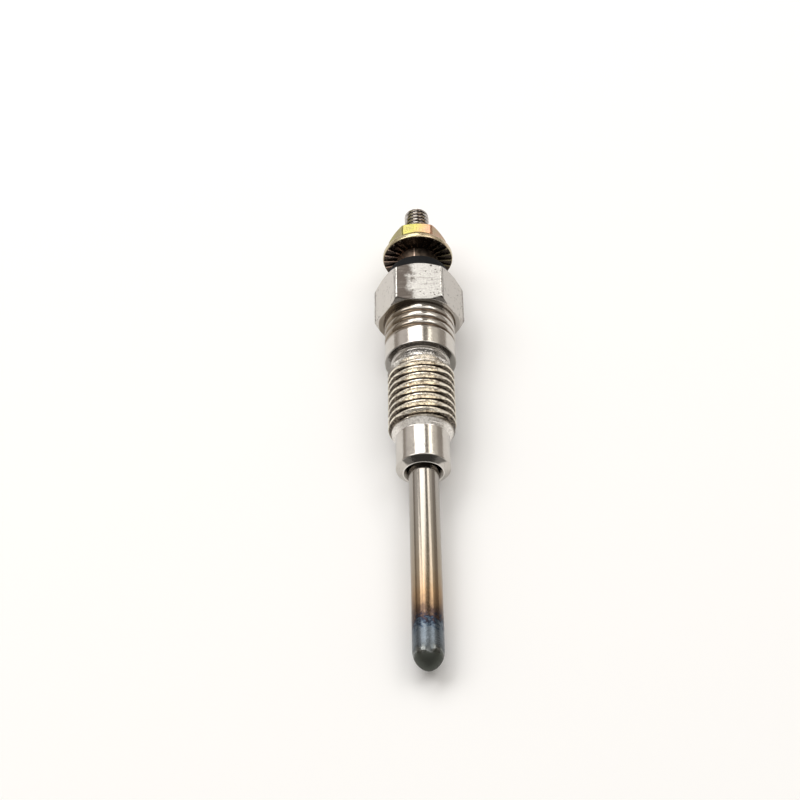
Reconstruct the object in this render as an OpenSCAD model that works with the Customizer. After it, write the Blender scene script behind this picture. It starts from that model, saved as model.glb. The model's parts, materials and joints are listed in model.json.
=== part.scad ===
// Sheathed diesel glow plug, lying on its hexagon and the front end of its thread.
// Each piece is drawn upright along its own axis, with z = 0 at the heater tip and the terminal at the top,
// and is then laid down together with the others.

/* [Heater sheath] */
// Outside diameter of the sheath
sheath_d = 4.3; // [4:0.1:4.9]
// Wall of the sheath
sheath_wall = 0.6; // [0.4:0.05:0.7]
// Wall at the closed tip
tip_wall = 1.2; // [0.8:0.1:1.6]
// Radius of the blunt end of the tip
tip_nose_r = 1.3; // [0.8:0.1:1.8]
// Radius of the arc that runs from the blunt end to the straight sheath
tip_side_r = 3; // [2.6:0.1:5]
// Length of sheath that stands out of the housing
heater_reach = 30.9; // [22:0.1:45]
// Length of sheath that is held inside the housing
sheath_inset = 16; // [12:0.5:17]

/* [Coils and powder] */
// Thickness of powder between the coils and the sheath
coil_cover = 0.22; // [0.15:0.01:0.3]
// Wire diameter of the heating coil
heating_wire_d = 0.3; // [0.2:0.02:0.36]
// Turns of the heating coil
heating_turns = 14; // [8:1:16]
// Pitch of the heating coil
heating_pitch = 0.55; // [0.4:0.05:0.7]
// Wire diameter of the regulating coil
regulating_wire_d = 0.3; // [0.2:0.02:0.36]
// Turns of the regulating coil
regulating_turns = 15; // [8:1:18]
// Pitch of the regulating coil
regulating_pitch = 0.8; // [0.5:0.05:0.9]
// Distance from the inside of the tip to the first turn
coil_start = 1.4; // [1.2:0.1:3]
// Length of the seal in the open end of the sheath
sheath_seal_l = 2.5; // [1.5:0.1:4]

/* [Housing] */
// Width of the hexagon across its flats
hex_af = 12; // [11.5:0.1:14]
// Height of the hexagon
hex_h = 7.5; // [6:0.1:10]
// Diameter of the plain shank below the hexagon
shank_d = 10.7; // [10.4:0.1:11.4]
// Length of the shank, shoulder to hexagon
shank_l = 7.7; // [6.5:0.1:14]
// Grooves turned in the shank below the hexagon
shank_grooves = 3; // [0:1:4]
// Spacing of those grooves, and of the last one from the hexagon
groove_pitch = 1.38; // [1.2:0.02:1.5]
// Depth of those grooves
groove_depth = 0.22; // [0.1:0.02:0.4]
// Diameter of the neck between shoulder and thread
relief_d = 8; // [7.4:0.1:8.6]
// Length of that neck
relief_l = 1.8; // [1.2:0.1:3]
// Major diameter of the thread
thread_d = 9.9; // [9.4:0.1:10.2]
// Length of full thread
thread_l = 10.5; // [8:0.1:16]
// Angle of the lead chamfer at the thread's front end, from the axis
thread_lead_angle = 30; // [20:1:45]
// Diameter of the plain nose
nose_d = 7.9; // [7:0.1:8.6]
// Length of the plain nose, seat to thread
nose_l = 5.2; // [3:0.1:10]
// Outer to inner edge of the conical seat, along the axis
seat_l = 0.7; // [0.5:0.05:1.2]
// Diameter at the inner edge of the seat
seat_inner_d = 5.85; // [5.7:0.05:6.2]
// Width of the flat lip inside the seat
lip_land = 0.1; // [0.05:0.01:0.15]
// Radial gap round the sheath in the nose
nose_gap = 0.2; // [0.1:0.05:0.3]
// Depth of that gap
nose_bore_l = 5; // [3:0.1:7]
// Bore round the rod, behind the sheath
rod_bore_d = 5.8; // [5.3:0.1:6]
// Counterbore for the seal ring and the bush
counterbore_d = 7; // [6.6:0.1:7.8]
// Depth of that counterbore
counterbore_l = 5.5; // [4.5:0.1:7]

/* [Terminal] */
// Diameter of the rod inside the housing
rod_d = 3.4; // [3:0.1:3.6]
// Diameter of the rod's tail inside the sheath
rod_tail_d = 2; // [1.6:0.1:2.1]
// Diameter of the threaded terminal stud
stud_d = 3.85; // [3.7:0.05:4.2]
// Length of stud that stands out of the nut
stud_free_l = 5.6; // [4:0.1:9]
// Diameter of the bush's flange
bush_d = 9.3; // [8.6:0.1:10.5]
// Height of the bush's flange
bush_h = 2.7; // [1.5:0.1:4]
// Diameter of the pinch ring
pinch_d = 6.4; // [5.8:0.1:6.5]
// Height of the pinch ring
pinch_h = 3; // [2:0.1:5]
// Width of the nut across its flats
nut_af = 8; // [7.4:0.1:9]
// Height of the nut
nut_h = 4.5; // [3.6:0.1:6]
// Diameter of the nut's flange
flange_d = 11; // [10.6:0.1:12.5]
// Thickness of the flange at its rim
flange_t = 0.9; // [0.6:0.1:1.3]
// Serrations on the nut's bearing face
serrations = 24; // [12:1:28]
// Angle that the land between two serrations takes up
serration_land = 3; // [2:0.5:5]
// Depth of the serrations at their inner end
serration_depth = 0.35; // [0.2:0.05:0.5]
// Depth at which they run out at the rim
serration_rim_depth = 0.15; // [0.1:0.01:0.2]

/* [Fits] */
// Radial gap of a pressed or screwed fit
tight_gap = 0.01; // [0.005:0.005:0.02]
// Gap round the bush and the seals
loose_gap = 0.05; // [0.03:0.01:0.1]

/* [Hidden] */
$fn = 96;

// Edge breaks
edge = 0.25;
stud_chamfer = 0.5;
hex_chamfer_angle = 40;
nut_chamfer_angle = 30;
nut_flange_angle = 45;
// Depth by which a cutting shape passes through a face
cut = 1;

// Stations along the axis, from the heater tip
lip_z = heater_reach;
seat_z = lip_z + seat_l;
nose_end_z = seat_z + nose_l;
thread_lead_l = (thread_d - nose_d) / 2 / tan(thread_lead_angle);
thread_z = nose_end_z + thread_lead_l;
relief_z = thread_z + thread_l;
shoulder_z = relief_z + relief_l;
hex_z = shoulder_z + shank_l;
bush_z = hex_z + hex_h;
pinch_z = bush_z + bush_h;
nut_z = pinch_z + pinch_h;
nut_top_z = nut_z + nut_h;
plug_l = nut_top_z + stud_free_l;

// Inside of the sheath, with the sides and the steps per turn of the coiled wires
wire_sides = 6;
wire_steps = 12;
sheath_r = sheath_d / 2;
sheath_bore_r = sheath_r - sheath_wall;
sheath_end_z = lip_z + sheath_inset;
powder_r = sheath_bore_r - tight_gap;
powder_end_z = sheath_end_z - sheath_seal_l;
slot_r = powder_r - coil_cover;
wire_d = max(heating_wire_d, regulating_wire_d);
coil_r = slot_r - tight_gap - wire_d / 2;
core_r = (coil_r - wire_d / 2) * cos(180 / wire_steps) - tight_gap;
heating_z = tip_wall + coil_start;
slot_z = heating_z - wire_d;
heating_end_z = heating_z + heating_turns * heating_pitch;
regulating_z = heating_end_z + (heating_wire_d + regulating_wire_d) / 2 + tight_gap;
regulating_end_z = regulating_z + regulating_turns * regulating_pitch;
tail_z = regulating_end_z + regulating_wire_d / 2 + tight_gap;

// Inside of the hexagon
counterbore_z = bush_z - counterbore_l;
o_ring_r = (counterbore_d - rod_d) / 4 - loose_gap / 2;
o_ring_mid_r = (counterbore_d + rod_d) / 4;
spigot_z = counterbore_z + 2 * o_ring_r + loose_gap;
stud_r = stud_d / 2;
stud_z = spigot_z + loose_gap;
rod_z = sheath_end_z + loose_gap;

// Round tip of the sheath: a small blunt end and a longer side arc that meet without an edge
side_mid_r = sheath_r - tip_side_r;
side_mid_z = tip_nose_r + sqrt((tip_side_r - tip_nose_r) ^ 2 - side_mid_r ^ 2);
tip_join_angle = atan2(side_mid_z - tip_nose_r, -side_mid_r);
tip_join_z = tip_nose_r - tip_nose_r * sin(tip_join_angle);

// Resting position: the front edge of the hexagon's lower flat touches the ground, and so does the front end
// of the thread, or the heater tip where that reaches lower
rest_run = hex_z - side_mid_z;
rest_rise = hex_af / 2 - side_mid_r;
tip_tilt = atan2(rest_rise, rest_run) - asin(tip_side_r / norm([rest_run, rest_rise]));
thread_tilt = atan2((hex_af - thread_d) / 2, hex_z - thread_z);
rest_tilt = min(tip_tilt, thread_tilt);
rest_low = hex_z * sin(rest_tilt) - hex_af / 2 * cos(rest_tilt);
back_y = tip_nose_r * (cos(rest_tilt) - 1);
front_y = plug_l * cos(rest_tilt) + (stud_r - stud_chamfer) * sin(rest_tilt);

// Lays an upright piece down, tip towards -Y, at rest on z = 0 and centred on the origin
module lay_down() {
    translate([0, -(back_y + front_y) / 2, -rest_low])
        rotate([rest_tilt - 90, 0, 0])
            children();
}

// Cylinder between two heights
module rod_between(low, high, r) {
    translate([0, 0, low])
        cylinder(h = high - low, r = r);
}

// Round bar with its two end edges broken
module broken_bar(low, high, r, break_low, break_high) {
    rotate_extrude()
        polygon([
            [0, low], [r - break_low, low], [r, low + break_low],
            [r, high - break_high], [r - break_high, high], [0, high],
        ]);
}

// Wire wound round the axis
module wound_wire(mid_r, wire_r, low, turns, pitch) {
    rings = turns * wire_steps;
    points = [
        for (i = [0 : rings], k = [0 : wire_sides - 1])
            let (turn = 360 * i / wire_steps, way = 360 * k / wire_sides, r = mid_r + wire_r * cos(way))
                [r * cos(turn), r * sin(turn), low + pitch * i / wire_steps + wire_r * sin(way)]
    ];
    wall = [
        for (i = [0 : rings - 1], k = [0 : wire_sides - 1])
            let (next = (k + 1) % wire_sides, a = i * wire_sides, b = a + wire_sides)
                [a + k, b + k, b + next, a + next]
    ];
    first_cap = [for (k = [0 : wire_sides - 1]) k];
    last_cap = [for (k = [wire_sides - 1 : -1 : 0]) rings * wire_sides + k];
    polyhedron(points, concat(wall, [first_cap, last_cap]));
}

// Hexagon prism with a chamfered top end
module chamfered_hex(low, high, af, angle) {
    corner_r = af / sqrt(3);
    face_r = af / 2 - edge;
    fall = (corner_r - face_r) * tan(angle);
    intersection() {
        translate([0, 0, low])
            cylinder(h = high - low, r = corner_r, $fn = 6);
        rotate_extrude()
            polygon([
                [0, low], [corner_r, low], [corner_r, high - fall], [face_r, high], [0, high],
            ]);
    }
}

// Turned outside of the housing below the hexagon, from the lip up, with the V grooves of the shank
module housing_turning() {
    shank_r = shank_d / 2;
    first_groove_z = hex_z - (shank_grooves + 0.5) * groove_pitch;
    grooves = [
        for (i = [0 : 1 : shank_grooves - 1])
            let (z = first_groove_z + i * groove_pitch)
                each [[shank_r - groove_depth, z + groove_pitch / 2], [shank_r, z + groove_pitch]]
    ];
    rotate_extrude()
        polygon(concat(
            [
                [0, lip_z], [seat_inner_d / 2, lip_z], [nose_d / 2, seat_z], [nose_d / 2, nose_end_z],
                [thread_d / 2, thread_z], [thread_d / 2, relief_z - edge], [thread_d / 2 - edge, relief_z],
                [relief_d / 2, relief_z], [relief_d / 2, shoulder_z - edge], [relief_d / 2 + edge, shoulder_z],
                [shank_r - edge, shoulder_z], [shank_r, shoulder_z + edge], [shank_r, first_groove_z],
            ],
            grooves,
            [[shank_r, hex_z + edge], [0, hex_z + edge]]
        ));
}

// Stepped bore of the housing
module housing_bore() {
    lip_r = seat_inner_d / 2 - lip_land;
    nose_bore_r = sheath_r + nose_gap;
    press_z = lip_z + nose_bore_l;
    rotate_extrude()
        polygon([
            [0, lip_z - cut], [lip_r, lip_z - cut], [lip_r, lip_z],
            [nose_bore_r, lip_z + lip_r - nose_bore_r], [nose_bore_r, press_z],
            [sheath_r + tight_gap, press_z], [sheath_r + tight_gap, sheath_end_z],
            [rod_bore_d / 2, sheath_end_z], [rod_bore_d / 2, counterbore_z],
            [counterbore_d / 2, counterbore_z], [counterbore_d / 2, bush_z - edge],
            [counterbore_d / 2 + edge + cut, bush_z + cut], [0, bush_z + cut],
        ]);
}

module housing() {
    color("gainsboro")
        lay_down()
            difference() {
                union() {
                    housing_turning();
                    chamfered_hex(hex_z, bush_z, hex_af, hex_chamfer_angle);
                }
                housing_bore();
            }
}

// Half outline of the closed sheath tip
module tip_outline() {
    intersection() {
        union() {
            translate([0, tip_nose_r])
                circle(r = tip_nose_r);
            intersection() {
                translate([side_mid_r, side_mid_z])
                    circle(r = tip_side_r);
                translate([0, tip_join_z])
                    square([sheath_r, side_mid_z - tip_join_z]);
            }
        }
        square([sheath_r, side_mid_z]);
    }
}

module heater_sheath() {
    color("darkkhaki")
        lay_down()
            difference() {
                union() {
                    rotate_extrude()
                        tip_outline();
                    rod_between(side_mid_z, sheath_end_z, sheath_r);
                }
                sheath_inside(sheath_bore_r, tip_wall, sheath_end_z + cut);
            }
}

// Space inside the sheath, with a domed front end
module sheath_inside(r, low, high) {
    rod_between(low + r, high, r);
    translate([0, 0, low + r])
        sphere(r = r);
}

module insulating_powder() {
    color("white")
        lay_down()
            difference() {
                sheath_inside(powder_r, tip_wall + tight_gap, powder_end_z);
                difference() {
                    rod_between(slot_z, tail_z, slot_r);
                    rod_between(slot_z - cut, regulating_end_z, core_r);
                }
                rod_between(regulating_end_z, powder_end_z + cut, rod_tail_d / 2 + tight_gap);
            }
}

module heating_coil() {
    color("dimgray")
        lay_down()
            wound_wire(coil_r, heating_wire_d / 2, heating_z, heating_turns, heating_pitch);
}

module regulating_coil() {
    color("slategray")
        lay_down()
            wound_wire(coil_r, regulating_wire_d / 2, regulating_z, regulating_turns, regulating_pitch);
}

module sheath_seal() {
    color("firebrick")
        lay_down()
            difference() {
                rod_between(powder_end_z, sheath_end_z, sheath_bore_r - tight_gap);
                rod_between(powder_end_z - cut, sheath_end_z + cut, rod_tail_d / 2 + tight_gap);
            }
}

module centre_rod() {
    color("gray")
        lay_down() {
            rod_between(tail_z, rod_z + edge, rod_tail_d / 2);
            broken_bar(rod_z, stud_z + edge, rod_d / 2, edge, 0);
            broken_bar(stud_z, plug_l, stud_r, edge, stud_chamfer);
        }
}

module o_ring() {
    color("black")
        lay_down()
            rotate_extrude()
                translate([o_ring_mid_r, counterbore_z + o_ring_r])
                    circle(r = o_ring_r);
}

module insulating_bush() {
    color("darkslategray")
        lay_down()
            difference() {
                union() {
                    rod_between(spigot_z, bush_z + edge, counterbore_d / 2 - loose_gap);
                    broken_bar(bush_z, pinch_z, bush_d / 2, 0, edge);
                }
                rod_between(spigot_z - cut, pinch_z + cut, stud_r + loose_gap);
            }
}

module pinch_ring() {
    color("dimgray")
        lay_down()
            difference() {
                broken_bar(pinch_z, nut_z, pinch_d / 2, edge, edge);
                rod_between(pinch_z - cut, nut_z + cut, stud_r + tight_gap);
            }
}

// Wedge-shaped flutes across the nut's bearing face, outside the pinch ring, that run out at the rim
module serration_cuts() {
    inner_r = pinch_d / 2;
    outer_r = flange_d / 2;
    half_angle = (360 / serrations - serration_land) / 2;
    slope = atan2(serration_depth - serration_rim_depth, outer_r - inner_r);
    reach = outer_r + cut;
    for (i = [0 : serrations - 1])
        rotate([0, 0, (i + 0.5) * 360 / serrations])
            translate([inner_r, 0, nut_z + serration_depth])
                rotate([0, slope, 0])
                    translate([-inner_r, 0, -serration_depth - cut])
                        linear_extrude(height = serration_depth + cut)
                            polygon([
                                [inner_r, -inner_r * tan(half_angle)], [reach, -reach * tan(half_angle)],
                                [reach, reach * tan(half_angle)], [inner_r, inner_r * tan(half_angle)],
                            ]);
}

module terminal_nut() {
    flange_r = flange_d / 2;
    rim_z = nut_z + flange_t;
    nut_r = nut_af / 2;
    cone_z = rim_z + (flange_r - nut_r) * tan(nut_flange_angle);
    color("goldenrod")
        lay_down()
            difference() {
                union() {
                    rotate_extrude()
                        polygon([
                            [0, nut_z], [flange_r - edge, nut_z], [flange_r, nut_z + edge], [flange_r, rim_z],
                            [nut_r, cone_z], [0, cone_z],
                        ]);
                    chamfered_hex(rim_z, nut_top_z, nut_af, nut_chamfer_angle);
                }
                rod_between(nut_z - cut, nut_top_z + cut, stud_r + tight_gap);
                serration_cuts();
            }
}

housing();
heater_sheath();
insulating_powder();
heating_coil();
regulating_coil();
sheath_seal();
centre_rod();
o_ring();
insulating_bush();
pinch_ring();
terminal_nut();
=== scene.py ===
import json
import math
from functools import partial

import bmesh
import bpy
from mathutils import Matrix, Vector


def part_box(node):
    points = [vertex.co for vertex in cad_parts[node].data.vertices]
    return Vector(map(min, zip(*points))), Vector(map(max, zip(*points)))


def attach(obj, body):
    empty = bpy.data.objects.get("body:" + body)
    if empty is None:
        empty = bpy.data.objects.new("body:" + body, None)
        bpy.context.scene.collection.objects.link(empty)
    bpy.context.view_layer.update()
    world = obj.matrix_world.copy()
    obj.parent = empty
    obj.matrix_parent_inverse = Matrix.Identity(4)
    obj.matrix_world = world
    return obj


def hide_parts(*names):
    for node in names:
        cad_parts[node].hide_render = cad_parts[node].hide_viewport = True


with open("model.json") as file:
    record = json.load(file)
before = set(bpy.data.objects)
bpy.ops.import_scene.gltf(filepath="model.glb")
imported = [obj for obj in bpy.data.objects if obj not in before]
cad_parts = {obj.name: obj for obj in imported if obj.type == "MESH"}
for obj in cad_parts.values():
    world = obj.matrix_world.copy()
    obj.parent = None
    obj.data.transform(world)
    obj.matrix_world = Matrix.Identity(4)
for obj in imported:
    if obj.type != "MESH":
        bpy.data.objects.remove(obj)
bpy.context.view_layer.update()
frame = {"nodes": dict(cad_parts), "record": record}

# Heating and regulating coils.
# Two coils of bare resistance wire, wound on a mandrel and joined end to end.
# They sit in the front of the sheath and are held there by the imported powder.
MM = 0.001
TIP_NOSE_R = 1.3
mounts = {mount["name"]: mount for mount in frame["record"]["mounts"]}
plug_axis = Vector(mounts["terminal_stud"]["axis"])
axis_point = Vector(mounts["terminal_stud"]["pos_m"])
rest_tilt = math.atan2(plug_axis.z, plug_axis.y)
tip_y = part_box("heater_sheath")[0].y + TIP_NOSE_R * MM * (1 - math.cos(rest_tilt))
plug_tip = axis_point + plug_axis * ((tip_y - axis_point.y) / plug_axis.y)
lie_angle = rest_tilt - math.pi / 2


def add_node(tree, kind, inputs=None, **settings):
    """Adds a node with its settings; each input takes a value or a link from another socket."""
    node = tree.nodes.new(kind)
    for name, value in settings.items():
        setattr(node, name, value)
    for name, value in (inputs or {}).items():
        if isinstance(value, bpy.types.NodeSocket):
            tree.links.new(value, node.inputs[name])
        else:
            node.inputs[name].default_value = value
    return node


def new_finish(name, **values):
    """A material with a Principled shader, whose even values are set on the shader itself."""
    finish = bpy.data.materials.new(name)
    finish.use_nodes = True
    shader = finish.node_tree.nodes["Principled BSDF"]
    for socket, value in values.items():
        shader.inputs[socket.replace("_", " ")].default_value = value
    return finish, finish.node_tree, shader


def plug_coords(tree, stretch=(1, 1, 1)):
    """Millimetres across and along the plug, from its heater tip, as if it stood upright."""
    spot = add_node(tree, "ShaderNodeTexCoord").outputs["Object"]
    scale = [MM / share for share in stretch]
    upright = {"Vector": spot, "Location": plug_tip, "Rotation": (lie_angle, 0, 0), "Scale": scale}
    return add_node(tree, "ShaderNodeMapping", upright, vector_type="TEXTURE").outputs[0]


def noise(tree, coords, scale, detail=3.0, roughness=0.55):
    """Cloudy noise with so many features to the millimetre."""
    inputs = {"Vector": coords, "Scale": scale, "Detail": detail, "Roughness": roughness}
    return add_node(tree, "ShaderNodeTexNoise", inputs).outputs[0]


def span(tree, value, low, high, at_low=0.0, at_high=1.0, kind="SMOOTHSTEP"):
    """A value's share of the way from low to high, turned into another range."""
    inputs = {0: value, 1: low, 2: high, 3: at_low, 4: at_high}
    return add_node(tree, "ShaderNodeMapRange", inputs, interpolation_type=kind).outputs[0]


def ramp(tree, value, stops):
    """Colours blended along a value from 0 to 1."""
    node = add_node(tree, "ShaderNodeValToRGB", {0: value})
    elements = node.color_ramp.elements
    while len(elements) < len(stops):
        elements.new(0.5)
    for element, (place, color) in zip(elements, stops):
        element.position = place
        element.color = (*color, 1)
    return node.outputs[0]


def dress(node_name, finish):
    """Gives a solid that shows as it is its finish."""
    slots = frame["nodes"][node_name].data.materials
    slots.clear()
    slots.append(finish)


wire_finish, tree, shader = new_finish("coil_wire", Metallic=1.0)
drawn_marks = noise(tree, plug_coords(tree, (6, 6, 2)), 2.0)
wire_tone = ramp(tree, drawn_marks, [(0.3, (0.20, 0.19, 0.18)), (0.7, (0.46, 0.44, 0.42))])
tree.links.new(wire_tone, shader.inputs["Base Color"])
tree.links.new(span(tree, drawn_marks, 0.3, 0.7, 0.25, 0.45), shader.inputs["Roughness"])
for coil in ("heating_coil", "regulating_coil"):
    dress(coil, wire_finish)

# Insulating powder.
# Magnesium oxide, poured round the coils and packed hard by swaging the sheath.
# It keeps the wire off the wall and carries its heat outwards.


def bump(tree, height, strength, distance, under=None):
    """A relief so many millimetres deep, laid on another one where that is given."""
    inputs = {"Height": height, "Strength": strength, "Distance": distance * MM}
    if under is not None:
        inputs["Normal"] = under
    return add_node(tree, "ShaderNodeBump", inputs).outputs[0]


powder_finish, tree, shader = new_finish("packed_powder", Roughness=0.9)
grain = noise(tree, plug_coords(tree), 9.0, 5.0)
powder_tone = ramp(tree, grain, [(0.3, (0.72, 0.70, 0.66)), (0.7, (0.90, 0.89, 0.86))])
tree.links.new(powder_tone, shader.inputs["Base Color"])
tree.links.new(bump(tree, grain, 0.6, 0.05), shader.inputs["Normal"])
dress("insulating_powder", powder_finish)

# Heater sheath.
# A closed tube of heat-resistant alloy, ground outside and swaged to a round tip.
# It is pressed into the housing, and its front end is tinted by heat.
SHEATH_R = 2.15
SHEATH_BORE_R = 1.55
SHEATH_END = 46.9
TIP_SIDE_R = 3.0
TIP_WALL = 1.2
ROUND_STEPS = 4
ROUND_COLUMNS = [2 * math.pi * i / 192 for i in range(192)]
side_mid_r = SHEATH_R - TIP_SIDE_R
side_mid_z = TIP_NOSE_R + math.sqrt((TIP_SIDE_R - TIP_NOSE_R) ** 2 - side_mid_r ** 2)
tip_join = math.degrees(math.atan2(TIP_NOSE_R - side_mid_z, -side_mid_r))
lie_down = Matrix.Translation(plug_tip) @ Matrix.Rotation(lie_angle, 4, "X") @ Matrix.Scale(MM, 4)


def arc(mid_r, mid_z, radius, start, end, steps):
    """Points of an outline's arc, from one angle to another in degrees."""
    angles = [math.radians(start + (end - start) * i / steps) for i in range(steps + 1)]
    return [(mid_r + radius * math.cos(a), mid_z + radius * math.sin(a)) for a in angles]


def rounded(corners):
    """An outline whose corners (radius, height, round) are rounded; its two ends stay as they are."""
    points = [corners[0][:2]]
    for before, corner, after in zip(corners, corners[1:], corners[2:]):
        at = Vector(corner[:2])
        back = Vector(before[:2]) - at
        onward = Vector(after[:2]) - at
        reach = min(corner[2] if len(corner) > 2 else 0.0, 0.4 * back.length, 0.4 * onward.length)
        start = at + back.normalized() * reach
        end = at + onward.normalized() * reach
        if reach == 0:
            points.append(tuple(at))
            continue
        points.append(tuple(start + back.normalized() * 0.2 * reach))
        for i in range(ROUND_STEPS + 1):
            t = i / ROUND_STEPS
            points.append(tuple(start * (1 - t) ** 2 + at * 2 * t * (1 - t) + end * t ** 2))
        points.append(tuple(end + onward.normalized() * 0.2 * reach))
    return points + [corners[-1][:2]]


def turned(name, columns, outline_at, closed=True, helix=None):
    """A mesh whose outline (radius, height) goes round the axis and may change with the angle.
    helix gives the first and last row of a thread and its rows to a turn: there each row climbs
    one pitch in a turn, so it meets a later row where the turn closes."""
    rows = [outline_at(angle) for angle in columns]
    row_count = len(rows[0])
    shape = bmesh.new()
    grid = []
    for angle, outline in zip(columns, rows):
        around = math.cos(angle), math.sin(angle)
        grid.append([shape.verts.new((r * around[0], r * around[1], z)) for r, z in outline])
    for j, column in enumerate(grid):
        next_column = grid[(j + 1) % len(grid)]
        for i in range(row_count if closed else row_count - 1):
            above = (i + 1) % row_count
            beside = [i, above]
            if helix and j == len(grid) - 1 and helix[0] <= i < helix[1]:
                beside = [min(max(row + helix[2], helix[0]), helix[1]) for row in beside]
            corners = column[i], next_column[beside[0]], next_column[beside[1]], column[above]
            shape.faces.new(list(dict.fromkeys(corners)))
    bmesh.ops.remove_doubles(shape, verts=shape.verts, dist=0.0005)
    bmesh.ops.dissolve_degenerate(shape, dist=0.0002, edges=shape.edges)
    mesh = bpy.data.meshes.new(name)
    shape.to_mesh(mesh)
    shape.free()
    piece = bpy.data.objects.new(name, mesh)
    bpy.context.scene.collection.objects.link(piece)
    return piece


def place(piece, node_name, finish, slot, sharp_angle=35):
    """Lays an upright piece down where its solid lies, and lets it stand for that solid."""
    piece.data.transform(lie_down)
    piece.data.shade_smooth()
    piece.data.set_sharp_from_angle(angle=math.radians(sharp_angle))
    piece.data.materials.clear()
    piece.data.materials.append(finish)
    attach(piece, "root")
    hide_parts(node_name)


sheath_tip = arc(0, TIP_NOSE_R, TIP_NOSE_R, -90, tip_join, 8)
sheath_tip += arc(side_mid_r, side_mid_z, TIP_SIDE_R, tip_join, 0, 14)[1:]
sheath_open_end = rounded([
    sheath_tip[-1], (SHEATH_R, SHEATH_END, 0.1), (SHEATH_BORE_R, SHEATH_END, 0.05),
    (SHEATH_BORE_R, TIP_WALL + SHEATH_BORE_R),
])
sheath_dome = arc(0, TIP_WALL + SHEATH_BORE_R, SHEATH_BORE_R, 0, -90, 10)
sheath_outline = sheath_tip + sheath_open_end[1:-1] + sheath_dome
sheath = turned("sheath_tube", ROUND_COLUMNS, lambda angle: sheath_outline, closed=False)


def math_node(tree, operation, *values):
    """The result of one sum on numbers or sockets."""
    return add_node(tree, "ShaderNodeMath", dict(enumerate(values)), operation=operation).outputs[0]


def times(tree, first, second):
    return math_node(tree, "MULTIPLY", first, second)


def plus(tree, first, second):
    return math_node(tree, "ADD", first, second)


def between(tree, value, low, high, soft):
    """1 where a value lies between two bounds, falling to 0 over a soft edge outside them."""
    return times(tree, span(tree, value, low - soft, low), span(tree, value, high + soft, high))


sheath_finish, tree, shader = new_finish("heater_alloy", Metallic=1.0)
coords = plug_coords(tree)
along = add_node(tree, "ShaderNodeSeparateXYZ", {0: coords}).outputs["Z"]
cloud = noise(tree, coords, 0.8, 3.0, 0.6)
fleck = noise(tree, coords, 1.9, 2.0, 0.55)
drift = span(tree, cloud, 0.3, 0.7, -0.5, 0.5, kind="LINEAR")
fleck_shift = span(tree, fleck, 0.35, 0.65, -0.9, 0.9, kind="LINEAR")
jitter = times(tree, between(tree, along, 5.6, 7.0, 1.4), fleck_shift)
heat_line = plus(tree, along, plus(tree, drift, jitter))
HEAT_END = 30.0
heat_share = span(tree, heat_line, 0.0, HEAT_END, kind="LINEAR")
heat_tint = ramp(tree, heat_share, [
    (1.5 / HEAT_END, (0.08, 0.086, 0.075)),
    (1.85 / HEAT_END, (0.09, 0.096, 0.088)),
    (2.05 / HEAT_END, (0.23, 0.24, 0.235)),
    (2.3 / HEAT_END, (0.118, 0.126, 0.123)),
    (2.6 / HEAT_END, (0.091, 0.102, 0.11)),
    (3.3 / HEAT_END, (0.118, 0.135, 0.152)),
    (5.0 / HEAT_END, (0.112, 0.133, 0.155)),
    (5.8 / HEAT_END, (0.054, 0.075, 0.102)),
    (6.5 / HEAT_END, (0.021, 0.024, 0.039)),
    (7.2 / HEAT_END, (0.059, 0.041, 0.039)),
    (8.2 / HEAT_END, (0.10, 0.066, 0.046)),
    (9.2 / HEAT_END, (0.20, 0.13, 0.077)),
    (10.5 / HEAT_END, (0.289, 0.193, 0.112)),
    (14.0 / HEAT_END, (0.321, 0.262, 0.193)),
    (20.0 / HEAT_END, (0.332, 0.3, 0.257)),
    (28.0 / HEAT_END, (0.353, 0.328, 0.3)),
])
tree.links.new(heat_tint, shader.inputs["Base Color"])
grind_marks = noise(tree, plug_coords(tree, (0.15, 0.15, 9)), 1.0, 4.0)
crusted = times(tree, span(tree, along, 2.0, 2.8), span(tree, heat_line, 8.6, 6.8))
blunt_end = span(tree, along, 1.9, 1.4, 0.0, 0.4)
ground_rough = plus(tree, blunt_end, span(tree, grind_marks, 0.3, 0.7, 0.12, 0.18))
sheath_rough = plus(tree, times(tree, crusted, 0.14), ground_rough)
tree.links.new(sheath_rough, shader.inputs["Roughness"])
crust_bump = bump(tree, times(tree, fleck, plus(tree, crusted, 0.06)), 0.6, 0.04)
tree.links.new(bump(tree, grind_marks, 0.35, 0.004, crust_bump), shader.inputs["Normal"])
place(sheath, "heater_sheath", sheath_finish, "heater_alloy")

# Sheath seal.
# A plug of heat-proof rubber, squeezed into the open end of the sheath round the rod.
# It keeps moisture out of the powder.
rubber_finish, tree, shader = new_finish("seal_rubber", Roughness=0.75)
bloom = noise(tree, plug_coords(tree), 2.5, 4.0)
rubber_tone = ramp(tree, bloom, [(0.3, (0.025, 0.025, 0.026)), (0.75, (0.075, 0.073, 0.07))])
tree.links.new(rubber_tone, shader.inputs["Base Color"])
dress("sheath_seal", rubber_finish)

# Centre rod and terminal stud.
# One steel rod: a thin tail in the sheath, a plain middle, and an M4 stud with a rolled thread.
# The cable is clamped to the stud, and the tail carries the current to the coils.
ROD_TAIL_R = 1.0
ROD_R = 1.7
STUD_R = 1.925
TAIL_START = 22.77
ROD_START = 46.95
STUD_START = 62.382
STUD_END = 81.828
STUD_CHAMFER = 0.5
STUD_PITCH = 0.7
STUD_THREAD_START = 68.9
STUD_THREAD_DEPTH = 0.43
NUT_TOP_Z = 76.232
THREAD_MARKS = [i / 16 for i in range(16)]


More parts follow.
